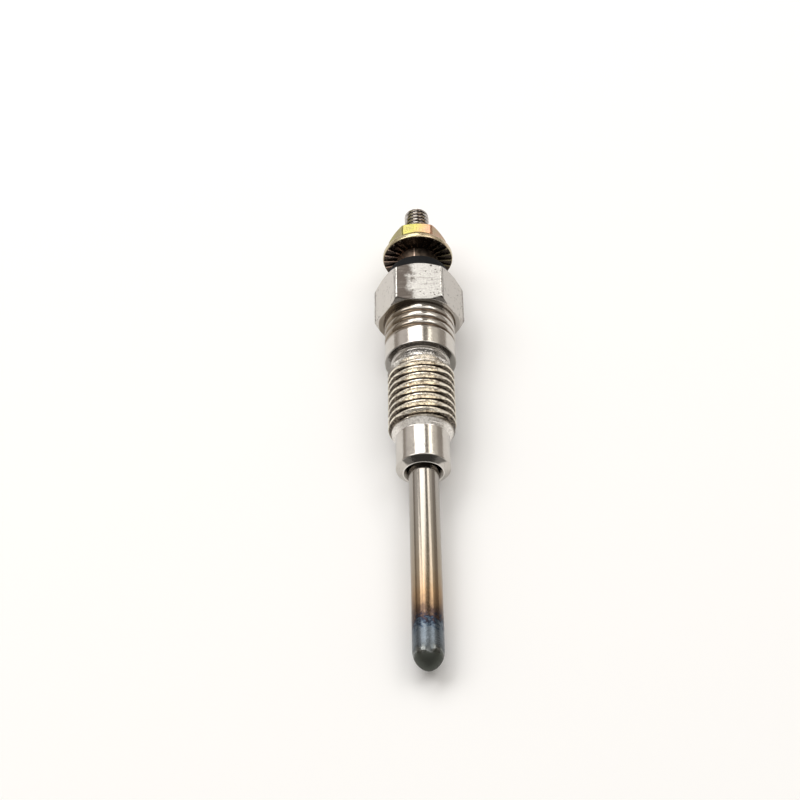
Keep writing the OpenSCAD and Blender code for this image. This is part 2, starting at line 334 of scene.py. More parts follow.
def thread_rows(angle, envelope, pitch):
    """The rows of a thread at one angle: each follows the helix and stops at the ends of the envelope."""
    low = envelope[0][1]
    high = envelope[-1][1]
    turns = math.ceil((high - low) / pitch) + 1
    rows = []
    for step in [turn + mark for turn in range(turns) for mark in THREAD_MARKS] + [turns]:
        z = min(max(low + (step - 1 + angle / (2 * math.pi)) * pitch, low), high)
        for (r0, z0), (r1, z1) in zip(envelope, envelope[1:]):
            if z0 <= z <= z1:
                rows.append((r0 + (r1 - r0) * (z - z0) / (z1 - z0), z))
                break
    return rows


def thread_tree():
    """Node tree that cuts a helical V groove into the rows of a thread."""
    tree = bpy.data.node_groups.new("cut_thread", "GeometryNodeTree")
    tree.interface.new_socket("Geometry", in_out="INPUT", socket_type="NodeSocketGeometry")
    for name in ("Pitch", "Depth", "Crest", "Root", "Major Radius", "Start", "End", "Reach"):
        tree.interface.new_socket(name, in_out="INPUT", socket_type="NodeSocketFloat")
    tree.interface.new_socket("Finish", in_out="INPUT", socket_type="NodeSocketMaterial")
    tree.interface.new_socket("Geometry", in_out="OUTPUT", socket_type="NodeSocketGeometry")
    given = tree.nodes.new("NodeGroupInput").outputs
    calc = partial(math_node, tree)
    position = tree.nodes.new("GeometryNodeInputPosition").outputs[0]
    x, y, z = add_node(tree, "ShaderNodeSeparateXYZ", {0: position}).outputs
    radius = calc("SQRT", calc("ADD", calc("MULTIPLY", x, x), calc("MULTIPLY", y, y)))
    turn_share = calc("DIVIDE", calc("ARCTAN2", y, x), 2 * math.pi)
    climb = calc("DIVIDE", calc("SUBTRACT", z, given["Start"]), given["Pitch"])
    phase = calc("FRACT", calc("SUBTRACT", climb, turn_share))
    off_groove = calc("MULTIPLY", calc("ABSOLUTE", calc("SUBTRACT", phase, 0.5)), 2.0)
    crest_edge = calc("SUBTRACT", 1.0, given["Crest"])
    across_flank = {0: off_groove, 1: given["Root"], 2: crest_edge, 3: 1.0, 4: 0.0}
    groove = add_node(tree, "ShaderNodeMapRange", across_flank)
    cut_radius = calc("SUBTRACT", given["Major Radius"], calc("MULTIPLY", given["Depth"], groove.outputs[0]))
    shrink = calc("DIVIDE", calc("MINIMUM", radius, cut_radius), calc("MAXIMUM", radius, 0.001))
    drawn_in = {0: calc("MULTIPLY", x, shrink), 1: calc("MULTIPLY", y, shrink), 2: z}
    moved = add_node(tree, "ShaderNodeCombineXYZ", drawn_in)
    EDGE = 0.0001
    above_start = calc("GREATER_THAN", z, calc("SUBTRACT", given["Start"], EDGE))
    below_end = calc("LESS_THAN", z, calc("ADD", given["End"], EDGE))
    within_reach = calc("LESS_THAN", radius, given["Reach"])
    threaded = calc("MULTIPLY", calc("MULTIPLY", above_start, below_end), within_reach)
    cut = add_node(tree, "GeometryNodeSetPosition", {0: given["Geometry"], 1: threaded, 2: moved.outputs[0]})
    whole = add_node(tree, "GeometryNodeRealizeInstances", {0: cut.outputs[0]})
    finished = add_node(tree, "GeometryNodeSetMaterial", {0: whole.outputs[0], 2: given["Finish"]})
    add_node(tree, "NodeGroupOutput", {0: finished.outputs[0]})
    return tree


def run_tree(piece, tree, values):
    """Runs a node tree on a piece with its named inputs, and keeps the result as the piece's plain mesh."""
    modifier = piece.modifiers.new(tree.name, "NODES")
    modifier.node_group = tree
    for item in tree.interface.items_tree:
        if item.in_out == "INPUT" and item.name in values:
            modifier[item.identifier] = values[item.name]
    evaluated = piece.evaluated_get(bpy.context.evaluated_depsgraph_get())
    mesh = bpy.data.meshes.new_from_object(evaluated)
    piece.modifiers.clear()
    piece.data = mesh


cut_thread = thread_tree()
stud_envelope = [
    (STUD_R, STUD_THREAD_START), (STUD_R, STUD_END - STUD_CHAMFER), (STUD_R - STUD_CHAMFER, STUD_END),
]
rod_lower = rounded([
    (0, TAIL_START), (ROD_TAIL_R, TAIL_START, 0.1), (ROD_TAIL_R, ROD_START), (ROD_R, ROD_START, 0.25),
    (ROD_R, STUD_START), (STUD_R, STUD_START, 0.2), stud_envelope[0],
])


def rod_outline(angle):
    return rod_lower + thread_rows(angle, stud_envelope, STUD_PITCH) + [(0, STUD_END)]


rod_thread_last = len(rod_outline(0)) - 2
rod_helix = (len(rod_lower), rod_thread_last, len(THREAD_MARKS))
rod = turned("centre_rod_stud", ROUND_COLUMNS, rod_outline, closed=False, helix=rod_helix)


def mix_color(tree, share, first, second):
    """One colour over another by a share from 0 to 1."""
    inputs = {0: share, 6: first, 7: second}
    return add_node(tree, "ShaderNodeMix", inputs, data_type="RGBA").outputs[2]


def plug_place(tree, coords):
    """A spot's place on the plug: x across, y downwards as it lies, its station and its radius."""
    x, y, along = add_node(tree, "ShaderNodeSeparateXYZ", {0: coords}).outputs
    across = add_node(tree, "ShaderNodeCombineXYZ", {0: x, 1: y}).outputs[0]
    radius = add_node(tree, "ShaderNodeVectorMath", {0: across}, operation="LENGTH").outputs["Value"]
    return x, y, along, radius


rod_finish, tree, shader = new_finish("bare_steel", Metallic=1.0)
coords = plug_coords(tree)
steel_cloud = noise(tree, coords, 1.6, 4.0)
steel_tone_and_root_shade = ramp(tree, steel_cloud, [(0.3, (0.385, 0.358, 0.337)), (0.7, (0.621, 0.594, 0.567))])
along, radius = plug_place(tree, coords)[2:]
# The thread roots above the nut are darkened: painted shade.
above_nut = span(tree, along, NUT_TOP_Z, NUT_TOP_Z + 0.2)
root_shade = times(tree, above_nut, span(tree, radius, STUD_R - 0.10, STUD_R - 0.24))
steel_tone_and_root_shade = mix_color(tree, root_shade, steel_tone_and_root_shade, (0.096, 0.083, 0.073, 1))
tree.links.new(steel_tone_and_root_shade, shader.inputs["Base Color"])
tree.links.new(span(tree, steel_cloud, 0.3, 0.7, 0.1, 0.18), shader.inputs["Roughness"])
tree.links.new(bump(tree, noise(tree, coords, 7.0), 0.4, 0.006), shader.inputs["Normal"])
run_tree(rod, cut_thread, {
    "Pitch": STUD_PITCH, "Depth": STUD_THREAD_DEPTH, "Crest": 0.125, "Root": 0.25, "Major Radius": STUD_R,
    "Start": STUD_THREAD_START, "End": STUD_END, "Reach": STUD_R + 1, "Finish": rod_finish,
})
place(rod, "centre_rod", rod_finish, "bare_steel")

# Housing.
# One turned steel body, drilled through and bright nickel plated: hexagon, ringed shank, thread and nose.
# The sheath is pressed into its nose, and the cone at its front end seals in the cylinder head.
LIP_Z = 30.9
SEAT_Z = 31.6
NOSE_END_Z = 36.8
THREAD_Z = 38.532
RELIEF_Z = 49.032
SHOULDER_Z = 50.832
HEX_Z = 58.532
HEX_TOP_Z = 66.032
NOSE_R = 3.95
SEAT_INNER_R = 2.925
LIP_R = 2.825
NOSE_BORE_R = 2.35
NOSE_BORE_END = 35.9
PRESS_R = 2.16
ROD_BORE_R = 2.9
COUNTERBORE_R = 3.5
COUNTERBORE_Z = 60.532
EDGE_BREAK = 0.25
THREAD_R = 4.95
THREAD_PITCH = 1.25
THREAD_DEPTH = 0.767
RELIEF_R = 4.0
SHANK_R = 5.35
SHANK_RINGS = 3
RING_PITCH = 1.38
RING_DEPTH = 0.22
RING_STEPS = 12
HEX_FLAT_R = 6.0
HEX_CORNER_R = 6.88
HEX_FACE_R = 5.75
HEX_FRONT_R = 6.25
HEX_FRONT_EDGE = 0.07
HEX_CHAMFER = math.radians(40)
SIX_SIDES = math.pi / 3


def hex_radius(angle, flat_r, corner_r):
    """Distance from the axis to a hexagon's side, with its corners cut off round."""
    off_flat = (angle % SIX_SIDES) - SIX_SIDES / 2
    return min(flat_r / math.cos(off_flat), corner_r)


def hex_columns(flat_r, corner_r, on_flat, on_corner):
    """Angles that meet each cut corner of a hexagon exactly, with more of them near it."""
    half_corner = SIX_SIDES / 2 - math.acos(flat_r / corner_r)
    steps = [half_corner * (2 * i / on_corner - 1) for i in range(on_corner)]
    flat = SIX_SIDES - 2 * half_corner
    steps += [half_corner + flat * (0.5 - 0.5 * math.cos(math.pi * i / on_flat)) for i in range(on_flat)]
    return [side * SIX_SIDES + step for side in range(6) for step in steps]


thread_envelope = [
    (NOSE_R, NOSE_END_Z), (THREAD_R, THREAD_Z), (THREAD_R, RELIEF_Z - EDGE_BREAK),
    (THREAD_R - EDGE_BREAK, RELIEF_Z),
]
housing_nose = rounded([
    (PRESS_R, NOSE_BORE_END), (NOSE_BORE_R, NOSE_BORE_END), (NOSE_BORE_R, LIP_Z + LIP_R - NOSE_BORE_R, 0.05),
    (LIP_R, LIP_Z, 0.04), (SEAT_INNER_R, LIP_Z, 0.04), (NOSE_R, SEAT_Z, 0.12), (NOSE_R, NOSE_END_Z - 0.1),
    thread_envelope[0],
])
ring_start = HEX_Z - (SHANK_RINGS + 0.5) * RING_PITCH
shank_rings = []
for i in range(SHANK_RINGS * RING_STEPS + 1):
    into_groove = 0.5 - 0.5 * math.cos(2 * math.pi * i / RING_STEPS)
    shank_rings.append((SHANK_R - RING_DEPTH * into_groove ** 2.5, ring_start + RING_PITCH * i / RING_STEPS))
housing_shoulder = rounded([
    thread_envelope[-1], (RELIEF_R, RELIEF_Z, 0.12), (RELIEF_R, SHOULDER_Z, 0.33),
    (SHANK_R, SHOULDER_Z, 0.15), shank_rings[0],
])[1:-1]


def housing_outline(angle):
    """The housing's outline at one angle, from the press fit over the outside and back down the bore."""
    side_r = hex_radius(angle, HEX_FLAT_R, HEX_CORNER_R)
    corner_rise = max(side_r - HEX_FRONT_R, 0) * math.tan(HEX_CHAMFER)
    side_low = HEX_Z + HEX_FRONT_EDGE + corner_rise
    front_r = min(side_r, HEX_FRONT_R) - HEX_FRONT_EDGE
    side_top = HEX_TOP_Z - (side_r - HEX_FACE_R) * math.tan(HEX_CHAMFER)
    hexagon = rounded([
        shank_rings[-1], (SHANK_R, HEX_Z, 0.06), (front_r, HEX_Z, 0.04), (side_r, side_low, 0.04),
        (side_r, side_top, 0.07), (HEX_FACE_R, HEX_TOP_Z, 0.08),
        (COUNTERBORE_R + EDGE_BREAK, HEX_TOP_Z, 0.06), (COUNTERBORE_R, HEX_TOP_Z - EDGE_BREAK, 0.06),
        (COUNTERBORE_R, COUNTERBORE_Z, 0.1), (ROD_BORE_R, COUNTERBORE_Z, 0.05),
        (ROD_BORE_R, SHEATH_END, 0.1), (PRESS_R, SHEATH_END),
    ])[1:]
    threaded = thread_rows(angle, thread_envelope, THREAD_PITCH)
    return housing_nose + threaded + housing_shoulder + shank_rings + hexagon


housing_thread_first = len(housing_nose)
housing_thread_last = housing_thread_first + len(thread_rows(0, thread_envelope, THREAD_PITCH)) - 1
housing = turned(
    "housing_body", hex_columns(HEX_FLAT_R, HEX_CORNER_R, 28, 4), housing_outline,
    helix=(housing_thread_first, housing_thread_last, len(THREAD_MARKS)),
)

nickel_finish, tree, shader = new_finish("nickel_plate", Metallic=1.0)
coords = plug_coords(tree)
x, y, along, radius = plug_place(tree, coords)
soft_cloud = noise(tree, coords, 0.5, 4.0)
fine_cloud = noise(tree, coords, 3.5, 4.0, 0.65)
scale_marks = noise(tree, coords, 4.5, 3.0, 0.7)
plate_tone_and_painted_light = ramp(tree, soft_cloud, [(0.3, (0.503, 0.473, 0.437)), (0.7, (0.589, 0.559, 0.52))])
# Thread: gilt crests, brown grime, grooves darkened with dirt and painted shade (further up the flanks on the
# sides), and a bright run-out at its front.
in_thread = between(tree, along, NOSE_END_Z + 1.2, RELIEF_Z - 0.9, 0.4)
gilt = times(tree, in_thread, span(tree, soft_cloud, 0.35, 0.65, 0.5, 1.0))
plate_tone_and_painted_light = mix_color(tree, gilt, plate_tone_and_painted_light, (0.98, 0.909, 0.77, 1))
on_run_out = between(tree, along, NOSE_END_Z + 0.05, NOSE_END_Z + 0.9, 0.08)
run_out_tone = ramp(tree, fine_cloud, [(0.38, (0.60, 0.575, 0.54)), (0.56, (0.93, 0.90, 0.86))])
plate_tone_and_painted_light = mix_color(tree, on_run_out, plate_tone_and_painted_light, run_out_tone)
thread_marks = noise(tree, coords, 2.2, 4.0, 0.75)
grime = times(tree, in_thread, span(tree, thread_marks, 0.50, 0.60, 0.0, 0.7))
plate_tone_and_painted_light = mix_color(tree, grime, plate_tone_and_painted_light, (0.225, 0.161, 0.102, 1))
# Painted shade, with dirt, in the thread's grooves; on the sides the painted shade reaches further up the
# flanks.
depth = math_node(tree, "SUBTRACT", THREAD_R, radius)
side_shade_share = span(tree, y, -4.6, -2.8, 0.0, 0.46)
groove_dirt_and_shade = times(tree, in_thread, span(tree, plus(tree, depth, side_shade_share), 0.48, 0.62))
groove_dirt_and_shade_tone = ramp(tree, fine_cloud, [(0.42, (0.024, 0.019, 0.016)), (0.62, (0.214, 0.177, 0.139))])
plate_tone_and_painted_light = mix_color(tree, groove_dirt_and_shade, plate_tone_and_painted_light, groove_dirt_and_shade_tone)
# Shank: dark ring roots and brown ring staining, and painted shade in the corner under the hexagon; below it
# a grey shoulder, darker on top with soot and painted shade, whose bright inner line is a painted highlight.
drift_x = span(tree, soft_cloud, 0.3, 0.7, -0.9, 0.9)
in_rings = between(tree, along, ring_start, HEX_Z + 0.05, 0.1)
ring_root = times(tree, in_rings, span(tree, radius, SHANK_R - 0.06, SHANK_R - 0.16))
plate_tone_and_painted_light = mix_color(tree, ring_root, plate_tone_and_painted_light, (0.128, 0.091, 0.064, 1))
ring_stain = times(tree, in_rings, span(tree, plus(tree, x, drift_x), 0.5, -2.5, 0.0, 0.75))
plate_tone_and_painted_light = mix_color(tree, ring_stain, plate_tone_and_painted_light, (0.203, 0.161, 0.112, 1))
# Painted shade in the corner where the shank meets the hexagon's front face.
at_front_face = between(tree, along, HEX_Z - 0.1, HEX_Z + 0.02, 0.08)
shade_under_hexagon = times(tree, at_front_face, span(tree, radius, SHANK_R + 0.25, SHANK_R + 0.1))
plate_tone_and_painted_light = mix_color(tree, shade_under_hexagon, plate_tone_and_painted_light, (0.107, 0.08, 0.059, 1))
# The shoulder is darker on top and lighter at its sides: soot and painted shade. Its bright inner line is a
# painted highlight.
at_shoulder = between(tree, along, SHOULDER_Z - 0.1, SHOULDER_Z + 0.06, 0.05)
on_shoulder = times(tree, at_shoulder, span(tree, radius, RELIEF_R + 0.38, RELIEF_R + 0.5))
shoulder_soot_and_shade = ramp(tree, fine_cloud, [(0.35, (0.096, 0.088, 0.08)), (0.65, (0.246, 0.23, 0.214))])
shoulder_soot_and_shade = mix_color(tree, span(tree, y, -4.2, -1.5, 0.0, 0.8), shoulder_soot_and_shade, (0.45, 0.43, 0.40, 1))
plate_tone_and_painted_light = mix_color(tree, on_shoulder, plate_tone_and_painted_light, shoulder_soot_and_shade)
shoulder_line = times(tree, at_shoulder, between(tree, radius, RELIEF_R + 0.26, RELIEF_R + 0.36, 0.04))
plate_tone_and_painted_light = mix_color(tree, shoulder_line, plate_tone_and_painted_light, (0.98, 0.963, 0.931, 1))
# Neck between thread and shoulder: a painted highlight on top and painted shade at its sides.
in_neck = between(tree, along, RELIEF_Z - 0.7, SHOULDER_Z - 0.25, 0.25)
neck_painted_highlight = times(tree, in_neck, span(tree, scale_marks, 0.58, 0.46))
neck_painted_highlight = times(tree, neck_painted_highlight, span(tree, y, -1.8, -3.2))
neck_painted_shade = times(tree, in_neck, span(tree, y, -3.5, -2.4, 0.0, 0.75))
plate_tone_and_painted_light = mix_color(tree, neck_painted_shade, plate_tone_and_painted_light, (0.17, 0.155, 0.14, 1))
plate_tone_and_painted_light = mix_color(tree, neck_painted_highlight, plate_tone_and_painted_light, (0.942, 0.909, 0.867, 1))
# Hexagon: sides of duller plating with painted shade towards the right, a top flat in a darker painted-shade
# copy of the plating, darkened towards its left and streaked, pits, dark blotches beside the corners, and
# worn corners.
in_hexagon = between(tree, along, HEX_Z + 0.1, HEX_TOP_Z - 0.1, 0.1)
top_flat = times(tree, in_hexagon, span(tree, y, 0.1 - HEX_FLAT_R, 0.03 - HEX_FLAT_R))
# The sides are duller plating, painted darker towards the right as painted shade.
dull_plate_shaded_right = ramp(tree, span(tree, x, -3.0, 3.0), [(0.0, (0.56, 0.53, 0.495)), (1.0, (0.46, 0.433, 0.402))])
plate_tone_and_painted_light = mix_color(tree, in_hexagon, plate_tone_and_painted_light, dull_plate_shaded_right)
# The top flat gets a darker copy of the plating: painted shade.
plate_tone_and_painted_light = mix_color(tree, top_flat, plate_tone_and_painted_light, (0.289, 0.281, 0.265, 1))
# The top flat is darkened towards its left.
top_flat_left_dark = times(tree, top_flat, span(tree, plus(tree, x, drift_x), -0.6, -1.9, 0.0, 0.95))
plate_tone_and_painted_light = mix_color(tree, top_flat_left_dark, plate_tone_and_painted_light, (0.045, 0.036, 0.03, 1))
streaks = noise(tree, plug_coords(tree, (0.4, 0.4, 3)), 1.0, 3.0)
streaked = times(tree, top_flat, span(tree, streaks, 0.5, 0.7, 0.0, 0.45))
plate_tone_and_painted_light = mix_color(tree, streaked, plate_tone_and_painted_light, (0.161, 0.15, 0.136, 1))
pitted = times(tree, in_hexagon, span(tree, noise(tree, coords, 2.6, 1.0), 0.67, 0.71))
plate_tone_and_painted_light = mix_color(tree, pitted, plate_tone_and_painted_light, (0.064, 0.054, 0.045, 1))
# Dark blotches on the side flats beside the top corners.
beside_corner = times(tree, in_hexagon, between(tree, radius, HEX_CORNER_R - 0.22, HEX_CORNER_R - 0.08, 0.04))
beside_corner = times(tree, beside_corner, span(tree, y, 0.03 - HEX_FLAT_R, 0.08 - HEX_FLAT_R))
corner_blotches = times(tree, beside_corner, span(tree, scale_marks, 0.42, 0.54, 0.0, 0.9))
plate_tone_and_painted_light = mix_color(tree, corner_blotches, plate_tone_and_painted_light, (0.085, 0.072, 0.062, 1))
worn_corner = times(tree, in_hexagon, span(tree, radius, HEX_CORNER_R - 0.04, HEX_CORNER_R - 0.01))
corner_tone = ramp(tree, scale_marks, [(0.49, (0.98, 0.974, 0.942)), (0.57, (0.107, 0.094, 0.083))])
plate_tone_and_painted_light = mix_color(tree, worn_corner, plate_tone_and_painted_light, corner_tone)
# Seat and lip: painted shade on the top of the cone, and a burnished front edge whose bright colour is also a
# painted highlight.
on_seat = between(tree, along, LIP_Z + 0.03, SEAT_Z - 0.08, 0.03)
# Painted shade over the top of the seat cone.
seat_top_shade = times(tree, on_seat, span(tree, plus(tree, y, times(tree, drift_x, 0.3)), -2.0, -2.4))
plate_tone_and_painted_light = mix_color(tree, seat_top_shade, plate_tone_and_painted_light, (0.139, 0.131, 0.12, 1))
seat_specks = times(tree, on_seat, span(tree, scale_marks, 0.6, 0.66, 0.0, 0.7))
plate_tone_and_painted_light = mix_color(tree, seat_specks, plate_tone_and_painted_light, (0.107, 0.096, 0.086, 1))
# The lip's bright edge: a burnished edge, with a painted highlight in its colour.
at_lip = times(tree, span(tree, along, LIP_Z + 0.05, LIP_Z + 0.02), span(tree, radius, LIP_R - 0.05, LIP_R))
plate_tone_and_painted_light = mix_color(tree, at_lip, plate_tone_and_painted_light, (0.963, 0.931, 0.888, 1))
tree.links.new(plate_tone_and_painted_light, shader.inputs["Base Color"])
matt_edge = times(tree, plus(tree, at_lip, plus(tree, shoulder_line, on_run_out)), 0.3)
matt = plus(tree, times(tree, in_hexagon, 0.1), plus(tree, times(tree, in_neck, 0.12), matt_edge))
plate_rough = plus(tree, span(tree, fine_cloud, 0.3, 0.7, 0.07, 0.17), matt)
tree.links.new(plate_rough, shader.inputs["Roughness"])
turning_marks = noise(tree, plug_coords(tree, (0.2, 0.2, 12)), 1.0, 4.0)
turning_bump = bump(tree, turning_marks, 0.4, 0.004)
grit = times(tree, fine_cloud, plus(tree, times(tree, plus(tree, in_thread, in_neck), 2.6), 1.0))
tree.links.new(bump(tree, grit, 0.5, 0.024, turning_bump), shader.inputs["Normal"])
run_tree(housing, cut_thread, {
    "Pitch": THREAD_PITCH, "Depth": THREAD_DEPTH, "Crest": 0.125, "Root": 0.125, "Major Radius": THREAD_R,
    "Start": NOSE_END_Z, "End": RELIEF_Z, "Reach": THREAD_R + 1, "Finish": nickel_finish,
})
place(housing, "housing", nickel_finish, "nickel_plate")

# Seal ring.
# A moulded rubber ring in the hexagon's counterbore, squeezed between the rod and the wall by the bush.
dress("o_ring", rubber_finish)

# Insulating bush.
# A phenolic moulding that keeps the stud clear of the housing; its spigot sits in the counterbore.
# The pinch ring presses its flange down on the hexagon.
BUSH_R = 4.65
BUSH_TOP_Z = 68.732
SPIGOT_R = 3.45
SPIGOT_Z = 62.332
BUSH_BORE_R = 1.975
BUSH_MID_Z = 65.0
bush_outline = rounded([
    (BUSH_BORE_R, BUSH_MID_Z), (BUSH_BORE_R, SPIGOT_Z, 0.1), (SPIGOT_R, SPIGOT_Z, 0.15),
    (SPIGOT_R, HEX_TOP_Z, 0.03), (BUSH_R, HEX_TOP_Z, 0.08), (BUSH_R, BUSH_TOP_Z, 0.3),
    (BUSH_BORE_R, BUSH_TOP_Z, 0.05), (BUSH_BORE_R, BUSH_MID_Z),
])[:-1]
bush = turned("insulating_bush_moulding", ROUND_COLUMNS, lambda angle: bush_outline)
bush_finish, tree, shader = new_finish("black_moulding", Roughness=0.6, Specular_IOR_Level=0.12)
coords = plug_coords(tree)
mould_grain = noise(tree, coords, 5.0, 4.0)
mould_tone = ramp(tree, mould_grain, [(0.3, (0.004, 0.0045, 0.005)), (0.75, (0.011, 0.012, 0.014))])
tree.links.new(mould_tone, shader.inputs["Base Color"])
tree.links.new(bump(tree, mould_grain, 0.4, 0.01), shader.inputs["Normal"])
place(bush, "insulating_bush", bush_finish, "black_moulding")

# Pinch ring.
# A plain steel ring with a dark finish, pressed on the stud to hold the bush down.
PINCH_R = 3.2
PINCH_TOP_Z = 71.732
PINCH_BORE_R = 1.935
PINCH_MID_Z = 70.0
pinch_outline = rounded([
    (PINCH_BORE_R, PINCH_MID_Z), (PINCH_BORE_R, BUSH_TOP_Z, 0.15), (PINCH_R, BUSH_TOP_Z, 0.25),
    (PINCH_R, PINCH_TOP_Z, 0.25), (PINCH_BORE_R, PINCH_TOP_Z, 0.15), (PINCH_BORE_R, PINCH_MID_Z),
])[:-1]
pinch = turned("pinch_ring_turned", ROUND_COLUMNS, lambda angle: pinch_outline)
pinch_finish, tree, shader = new_finish("dark_steel", Metallic=1.0)
coords = plug_coords(tree)
oxide = noise(tree, coords, 1.3, 4.0)
oxide_and_painted_light_tone = ramp(tree, oxide, [(0.3, (0.107, 0.08, 0.06)), (0.7, (0.214, 0.161, 0.118))])
x = add_node(tree, "ShaderNodeSeparateXYZ", {0: coords}).outputs["X"]
# Painted light and shade across the ring: darker to the right, a lighter lit side to the left.
oxide_and_painted_light_tone = mix_color(tree, span(tree, x, -0.2, 0.5, 0.0, 0.6), oxide_and_painted_light_tone, (0.055, 0.043, 0.035, 1))
oxide_and_painted_light_tone = mix_color(tree, span(tree, x, -0.5, -1.0, 0.0, 0.6), oxide_and_painted_light_tone, (0.36, 0.265, 0.20, 1))
# A painted highlight: a narrow peach streak down the ring's left side.
oxide_and_painted_light_tone = mix_color(tree, between(tree, x, -0.62, -0.46, 0.06), oxide_and_painted_light_tone, (0.98, 0.749, 0.589, 1))
tree.links.new(oxide_and_painted_light_tone, shader.inputs["Base Color"])
tree.links.new(span(tree, oxide, 0.3, 0.7, 0.28, 0.4), shader.inputs["Roughness"])
place(pinch, "pinch_ring", pinch_finish, "dark_steel")

# Terminal nut.
# A hexagon flange nut, cold formed from steel, zinc plated and yellow passivated.
# Coined flutes on its bearing face bite into the cable lug so that it can't work loose.
NUT_Z = PINCH_TOP_Z
NUT_FLAT_R = 4.0
NUT_CORNER_R = 4.56
NUT_FACE_R = 3.75
NUT_CHAMFER = math.radians(30)
FLANGE_R = 5.5
FLANGE_RIM = 0.9
NUT_BORE_R = 1.935
NUT_BORE_CHAMFER = 0.2
NUT_THREAD_DEPTH = 0.36
FLANGE_EDGE = 0.25
FLUTES = 24
FLUTE_LAND = math.radians(3)
FLUTE_DEPTH = 0.35
FLUTE_RIM_DEPTH = 0.15
flute_spread = math.tan(math.pi / FLUTES - FLUTE_LAND / 2)
nut_envelope = [(NUT_BORE_R, NUT_Z + NUT_BORE_CHAMFER), (NUT_BORE_R, NUT_TOP_Z - NUT_BORE_CHAMFER)]


def nut_outline(angle):
    """The nut's outline at one angle, from the top of its bore over the outside to the bearing face."""
    side_r = hex_radius(angle, NUT_FLAT_R, NUT_CORNER_R)
    side_top = NUT_TOP_Z - (side_r - NUT_FACE_R) * math.tan(NUT_CHAMFER)
    cone_top = NUT_Z + FLANGE_RIM + FLANGE_R - side_r
    outside = rounded([
        nut_envelope[0], (NUT_BORE_R + NUT_BORE_CHAMFER, NUT_Z), (FLANGE_R - FLANGE_EDGE, NUT_Z, 0.1),
        (FLANGE_R, NUT_Z + FLANGE_EDGE, 0.14), (FLANGE_R, NUT_Z + FLANGE_RIM, 0.15), (side_r, cone_top, 0.2),
        (side_r, side_top, 0.06), (NUT_FACE_R, NUT_TOP_Z, 0.08), (NUT_BORE_R + NUT_BORE_CHAMFER, NUT_TOP_Z),
        nut_envelope[-1],
    ])
    return outside[1:-1] + thread_rows(angle, nut_envelope, STUD_PITCH)[::-1]


nut_rows = len(nut_outline(0))
nut_thread_first = nut_rows - len(thread_rows(0, nut_envelope, STUD_PITCH))
nut_helix = (nut_thread_first, nut_rows - 1, -len(THREAD_MARKS))
nut = turned("flange_nut", ROUND_COLUMNS, nut_outline, helix=nut_helix)


def flute_tree():
    """Node tree that repeats a wedge-shaped cutter round the axis and cuts it out of the bearing face."""
    tree = bpy.data.node_groups.new("cut_flutes", "GeometryNodeTree")
    tree.interface.new_socket("Geometry", in_out="INPUT", socket_type="NodeSocketGeometry")
    tree.interface.new_socket("Flutes", in_out="INPUT", socket_type="NodeSocketInt")
    for name in ("Spread", "Depth", "Rim Depth", "Inner Radius", "Rim Radius", "Face"):
        tree.interface.new_socket(name, in_out="INPUT", socket_type="NodeSocketFloat")
    tree.interface.new_socket("Finish", in_out="INPUT", socket_type="NodeSocketMaterial")
    tree.interface.new_socket("Geometry", in_out="OUTPUT", socket_type="NodeSocketGeometry")
    given = tree.nodes.new("NodeGroupInput").outputs
    calc = partial(math_node, tree)
    block = add_node(tree, "GeometryNodeMeshCube", {"Size": (1, 1, 1)})
    position = tree.nodes.new("GeometryNodeInputPosition").outputs[0]
    x, y, z = add_node(tree, "ShaderNodeSeparateXYZ", {0: position}).outputs
    PAST_RIM = 1.15
    length = calc("SUBTRACT", calc("MULTIPLY", given["Rim Radius"], PAST_RIM), given["Inner Radius"])
    outwards = calc("MULTIPLY", calc("ADD", x, 0.5), length)
    reach = calc("ADD", given["Inner Radius"], outwards)
    breadth = calc("MULTIPLY", calc("MULTIPLY", calc("MULTIPLY", y, 2.0), given["Spread"]), reach)
    run_out = calc("DIVIDE", outwards, calc("SUBTRACT", given["Rim Radius"], given["Inner Radius"]))
    fall = calc("MULTIPLY", calc("SUBTRACT", given["Depth"], given["Rim Depth"]), run_out)
    roof = calc("MULTIPLY", calc("SUBTRACT", given["Depth"], fall), calc("ADD", z, 0.5))
    level = calc("ADD", given["Face"], calc("ADD", roof, calc("SUBTRACT", z, 0.5)))
    spot = add_node(tree, "ShaderNodeCombineXYZ", {0: reach, 1: breadth, 2: level})
    cutter = add_node(tree, "GeometryNodeSetPosition", {0: block.outputs[0], 2: spot.outputs[0]})
    points = add_node(tree, "GeometryNodePoints", {"Count": given["Flutes"]})
    index = tree.nodes.new("GeometryNodeInputIndex").outputs[0]
    turn = calc("DIVIDE", calc("MULTIPLY", calc("ADD", index, 0.5), 2 * math.pi), given["Flutes"])
    spin = add_node(tree, "ShaderNodeCombineXYZ", {2: turn})
    ring = add_node(
        tree, "GeometryNodeInstanceOnPoints",
        {"Points": points.outputs[0], "Instance": cutter.outputs[0], "Rotation": spin.outputs[0]},
    )
    cutters = add_node(tree, "GeometryNodeRealizeInstances", {0: ring.outputs[0]})
    bodies = {0: given["Geometry"], 1: cutters.outputs[0]}
    cut = add_node(tree, "GeometryNodeMeshBoolean", bodies, operation="DIFFERENCE", solver="EXACT")
    whole = add_node(tree, "GeometryNodeRealizeInstances", {0: cut.outputs[0]})
    finished = add_node(tree, "GeometryNodeSetMaterial", {0: whole.outputs[0], 2: given["Finish"]})
    add_node(tree, "NodeGroupOutput", {0: finished.outputs[0]})
    return tree


